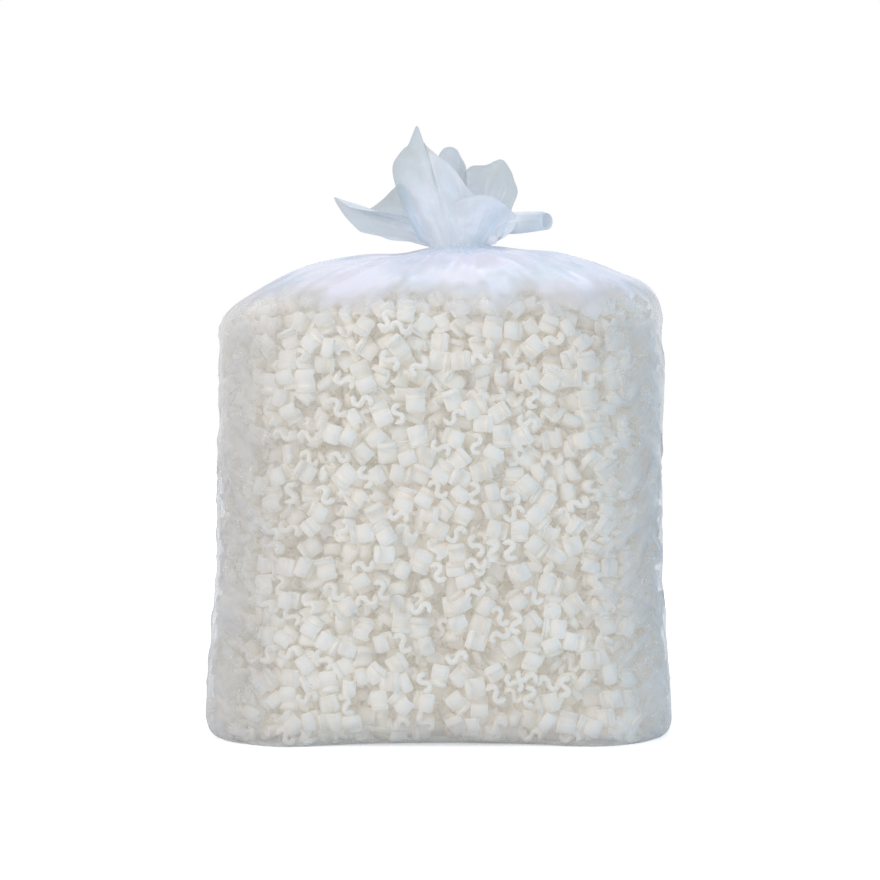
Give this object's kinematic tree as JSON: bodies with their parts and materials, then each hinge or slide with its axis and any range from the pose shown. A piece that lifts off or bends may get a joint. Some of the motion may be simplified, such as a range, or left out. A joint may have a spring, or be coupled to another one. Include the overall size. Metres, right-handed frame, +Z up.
{
  "type": "packing peanut bag",
  "caption": "Clear film bag, knotted at its gathered neck, filled with white S-shaped foam loose fill.",
  "frame": {"origin": "on the floor, under the middle of the standing bag", "axes": "+Z up through the knotted neck, +X to the right of the picture along the wide faces, +Y away from the camera"},
  "size_m": [0.5739, 0.4041, 0.7561],
  "materials": {
    "clear_film": "clear thin film, glossy, slightly milky where it is folded",
    "white_foam": "warm white foam, matte with a faint skin sheen"
  },
  "bodies": {
    "root": {"bag_film": "clear_film", "peanut_heap": "white_foam", "peanut_01": "white_foam", "peanut_02": "white_foam", "peanut_03": "white_foam", "peanut_04": "white_foam", "peanut_05": "white_foam", "peanut_06": "white_foam", "peanut_07": "white_foam", "peanut_08": "white_foam", "peanut_09": "white_foam", "peanut_10": "white_foam", "peanut_11": "white_foam", "peanut_12": "white_foam", "peanut_13": "white_foam", "peanut_14": "white_foam", "peanut_15": "white_foam", "peanut_16": "white_foam", "peanut_17": "white_foam", "peanut_18": "white_foam", "peanut_19": "white_foam", "peanut_20": "white_foam", "peanut_21": "white_foam", "peanut_22": "white_foam", "peanut_23": "white_foam", "peanut_24": "white_foam", "peanut_25": "white_foam", "peanut_26": "white_foam", "peanut_27": "white_foam", "peanut_28": "white_foam", "peanut_29": "white_foam", "peanut_30": "white_foam", "peanut_31": "white_foam", "peanut_32": "white_foam", "peanut_33": "white_foam", "peanut_34": "white_foam", "peanut_35": "white_foam", "peanut_36": "white_foam", "peanut_37": "white_foam", "peanut_38": "white_foam", "peanut_39": "white_foam", "peanut_40": "white_foam", "peanut_41": "white_foam", "peanut_42": "white_foam", "peanut_43": "white_foam", "peanut_44": "white_foam", "peanut_45": "white_foam", "peanut_46": "white_foam"}
  },
  "joints": []
}
